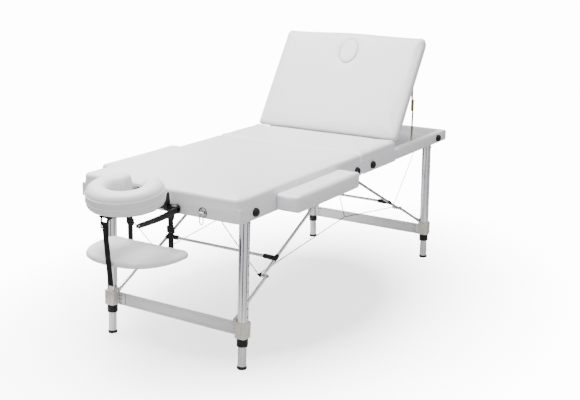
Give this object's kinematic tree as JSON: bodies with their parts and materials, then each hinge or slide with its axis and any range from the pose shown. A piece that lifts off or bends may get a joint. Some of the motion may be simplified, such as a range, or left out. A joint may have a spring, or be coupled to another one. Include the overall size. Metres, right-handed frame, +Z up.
{
  "type": "portable massage table",
  "caption": "Folding massage table with padded sections, a raising backrest, braced height-adjustable legs, a face cradle, an arm shelf and side armrests.",
  "frame": {"origin": "middle of the box round the whole table, on the floor under it", "axes": "+X from the face cradle to the backrest end, +Z up, +Y to the left of someone looking along +X"},
  "size_m": [2.1772, 0.9726, 1.1396],
  "materials": {
    "upholstery": "white leatherette with a fine grain, slight satin sheen",
    "wrapped_rails": "wood rails wrapped in white leatherette",
    "board": "grey-faced thin board",
    "aluminium": "bright drawn aluminium tube",
    "alloy_bracket": "cast alloy, warm silver, satin",
    "steel": "zinc-plated steel",
    "chrome": "polished latch plate",
    "zinc_stay": "yellow-passivated steel strip",
    "black_plastic": "matt black moulding",
    "button": "steel spring button",
    "webbing": "black woven nylon webbing",
    "cable": "twisted steel cable, thin clear sleeve"
  },
  "bodies": {
    "head_half": {"head_frame": "wrapped_rails", "head_deck": "board", "head_cushion": "upholstery", "fold_hinge_head_leaf": "steel", "head_leg_axle": "steel", "latch_base": "chrome", "brace_cable_right": "cable", "brace_cable_left": "cable"},
    "foot_half": {"foot_frame": "wrapped_rails", "foot_deck": "board", "mid_board": "board", "mid_cushion": "upholstery", "fold_hinge_foot_leaf": "steel", "foot_leg_axle": "steel"},
    "backrest": {"backrest_cushion": "upholstery", "backrest_board": "board"},
    "breath_plug": {"breath_plug": "upholstery"},
    "stays_lower": {"stay_lower_right": "zinc_stay", "stay_lower_left": "zinc_stay"},
    "stays_upper": {"stay_upper_right": "zinc_stay", "stay_upper_left": "zinc_stay"},
    "latch_hook": {"latch_hook": "chrome"},
    "cradle_mount": {"cradle_frame": "black_plastic", "shelf_strap_right": "webbing", "shelf_strap_left": "webbing", "shelf_strap_front": "webbing"},
    "cradle_head": {"cradle_cushion": "upholstery", "cradle_platform": "black_plastic"},
    "cradle_lever": {"cradle_lever": "black_plastic"},
    "arm_shelf": {"arm_shelf": "upholstery"},
    "head_legs": {"head_outer_leg_right": "aluminium", "head_outer_leg_left": "aluminium", "head_leg_bracket_right": "alloy_bracket", "head_leg_bracket_left": "alloy_bracket", "head_leg_crossbar": "aluminium"},
    "head_upper_struts": {"head_upper_strut_right": "aluminium", "head_upper_strut_left": "aluminium", "head_strut_crossbar": "aluminium"},
    "head_lower_struts": {"head_lower_strut_right": "aluminium", "head_lower_strut_left": "aluminium"},
    "head_leg_slider_right": {"head_inner_leg_right": "aluminium"},
    "head_button_right": {"head_button_right": "button"},
    "head_leg_slider_left": {"head_inner_leg_left": "aluminium"},
    "head_button_left": {"head_button_left": "button"},
    "foot_legs": {"foot_outer_leg_right": "aluminium", "foot_outer_leg_left": "aluminium", "foot_leg_bracket_right": "alloy_bracket", "foot_leg_bracket_left": "alloy_bracket", "foot_leg_crossbar": "aluminium"},
    "foot_upper_struts": {"foot_upper_strut_right": "aluminium", "foot_upper_strut_left": "aluminium", "foot_strut_crossbar": "aluminium"},
    "foot_lower_struts": {"foot_lower_strut_right": "aluminium", "foot_lower_strut_left": "aluminium"},
    "foot_leg_slider_right": {"foot_inner_leg_right": "aluminium"},
    "foot_button_right": {"foot_button_right": "button"},
    "foot_leg_slider_left": {"foot_inner_leg_left": "aluminium"},
    "foot_button_left": {"foot_button_left": "button"},
    "armrest_right": {"armrest_right": "upholstery"},
    "armrest_left": {"armrest_left": "upholstery"}
  },
  "joints": [
    {"name": "table_fold", "type": "hinge", "parent": "head_half", "child": "foot_half", "pos_m": [0.1725, 0, 0.601], "axis": [0, 1, 0], "range_deg": [0, 90], "deforming": ["brace_cable_right", "brace_cable_left"]},
    {"name": "backrest_recline", "type": "hinge", "parent": "foot_half", "child": "backrest", "pos_m": [0.5225, 0, 0.658], "axis": [0, 1, 0], "range_deg": [0, 57]},
    {"name": "stay_lower", "type": "hinge", "parent": "foot_half", "child": "stays_lower", "pos_m": [0.7525, 0, 0.644], "axis": [0, 1, 0], "range_deg": [0, 88.73]},
    {"name": "stay_upper", "type": "hinge", "parent": "backrest", "child": "stays_upper", "pos_m": [0.75775, 0, 1.00006], "axis": [0, 1, 0], "range_deg": [0, 31.73]},
    {"name": "breath_plug_lift", "type": "slide", "parent": "backrest", "child": "breath_plug", "axis": [-0.8387, 0, 0.5446], "range_m": [0, 0.08]},
    {"name": "head_leg_fold", "type": "hinge", "parent": "head_half", "child": "head_legs", "pos_m": [-0.6525, 0, 0.58], "axis": [0, -1, 0], "range_deg": [0, 91.8], "deforming": ["brace_cable_right", "brace_cable_left"]},
    {"name": "head_upper_strut", "type": "hinge", "parent": "head_half", "child": "head_upper_struts", "pos_m": [0.1125, 0, 0.58], "axis": [0, 1, 0], "range_deg": [0, 27.02]},
    {"name": "head_lower_strut", "type": "hinge", "parent": "head_upper_struts", "child": "head_lower_struts", "pos_m": [-0.44476, 0, 0.30193], "axis": [0, -1, 0], "range_deg": [0, 180.5]},
    {"name": "head_leg_height_right", "type": "slide", "parent": "head_legs", "child": "head_leg_slider_right", "axis": [0.0314, 0, 0.9995], "range_m": [-0.238, 0.034]},
    {"name": "head_button_press_right", "type": "slide", "parent": "head_legs", "child": "head_button_right", "axis": [0, -1, 0], "range_m": [-0.0045, 0], "stiffness_N_per_m": 400},
    {"name": "head_leg_height_left", "type": "slide", "parent": "head_legs", "child": "head_leg_slider_left", "axis": [0.0314, 0, 0.9995], "range_m": [-0.238, 0.034]},
    {"name": "head_button_press_left", "type": "slide", "parent": "head_legs", "child": "head_button_left", "axis": [0, 1, 0], "range_m": [-0.0045, 0], "stiffness_N_per_m": 400},
    {"name": "foot_leg_fold", "type": "hinge", "parent": "foot_half", "child": "foot_legs", "pos_m": [0.9775, 0, 0.58], "axis": [0, 1, 0], "range_deg": [0, 91.8], "deforming": ["brace_cable_right", "brace_cable_left"]},
    {"name": "foot_upper_strut", "type": "hinge", "parent": "foot_half", "child": "foot_upper_struts", "pos_m": [0.2325, 0, 0.58], "axis": [0, -1, 0], "range_deg": [0, 27.62]},
    {"name": "foot_lower_strut", "type": "hinge", "parent": "foot_upper_struts", "child": "foot_lower_struts", "pos_m": [0.76997, 0, 0.30473], "axis": [0, 1, 0], "range_deg": [0, 180.5]},
    {"name": "foot_leg_height_right", "type": "slide", "parent": "foot_legs", "child": "foot_leg_slider_right", "axis": [-0.0314, 0, 0.9995], "range_m": [-0.238, 0.034]},
    {"name": "foot_button_press_right", "type": "slide", "parent": "foot_legs", "child": "foot_button_right", "axis": [0, -1, 0], "range_m": [-0.0045, 0], "stiffness_N_per_m": 400},
    {"name": "foot_leg_height_left", "type": "slide", "parent": "foot_legs", "child": "foot_leg_slider_left", "axis": [-0.0314, 0, 0.9995], "range_m": [-0.238, 0.034]},
    {"name": "foot_button_press_left", "type": "slide", "parent": "foot_legs", "child": "foot_button_left", "axis": [0, 1, 0], "range_m": [-0.0045, 0], "stiffness_N_per_m": 400},
    {"name": "cradle_slide", "type": "slide", "parent": "head_half", "child": "cradle_mount", "axis": [-1, 0, 0], "range_m": [0, 0.15]},
    {"name": "cradle_tilt", "type": "hinge", "parent": "cradle_mount", "child": "cradle_head", "pos_m": [-0.7905, 0, 0.628], "axis": [0, 1, 0], "range_deg": [-22, 16], "deforming": ["shelf_strap_right", "shelf_strap_left", "shelf_strap_front"]},
    {"name": "cradle_lever_swing", "type": "hinge", "parent": "cradle_head", "child": "cradle_lever", "pos_m": [-0.7905, 0, 0.628], "axis": [0, 1, 0], "range_deg": [-30, 4]},
    {"name": "arm_shelf_height", "type": "slide", "parent": "cradle_mount", "child": "arm_shelf", "axis": [0, 0, 1], "range_m": [-0.06, 0.05], "deforming": ["shelf_strap_right", "shelf_strap_left", "shelf_strap_front"]},
    {"name": "latch_hook_swing", "type": "hinge", "parent": "head_half", "child": "latch_hook", "pos_m": [-0.7738, -0.214, 0.626], "axis": [0, 1, 0], "range_deg": [0, 170]},
    {"name": "armrest_slide_right", "type": "slide", "parent": "head_half", "child": "armrest_right", "axis": [0, -1, 0], "range_m": [0, 0.06]},
    {"name": "armrest_slide_left", "type": "slide", "parent": "head_half", "child": "armrest_left", "axis": [0, 1, 0], "range_m": [0, 0.06]}
  ],
  "couplings": [
    {"joint": "stay_lower", "follows": "backrest_recline", "ratio": 1.5478},
    {"joint": "stay_upper", "follows": "backrest_recline", "ratio": 0.54783},
    {"joint": "head_upper_strut", "follows": "head_leg_fold", "ratio": 0.28888},
    {"joint": "head_lower_strut", "follows": "head_leg_fold", "ratio": 1.9608},
    {"joint": "foot_upper_strut", "follows": "foot_leg_fold", "ratio": 0.29543},
    {"joint": "foot_lower_strut", "follows": "foot_leg_fold", "ratio": 1.9608}
  ]
}
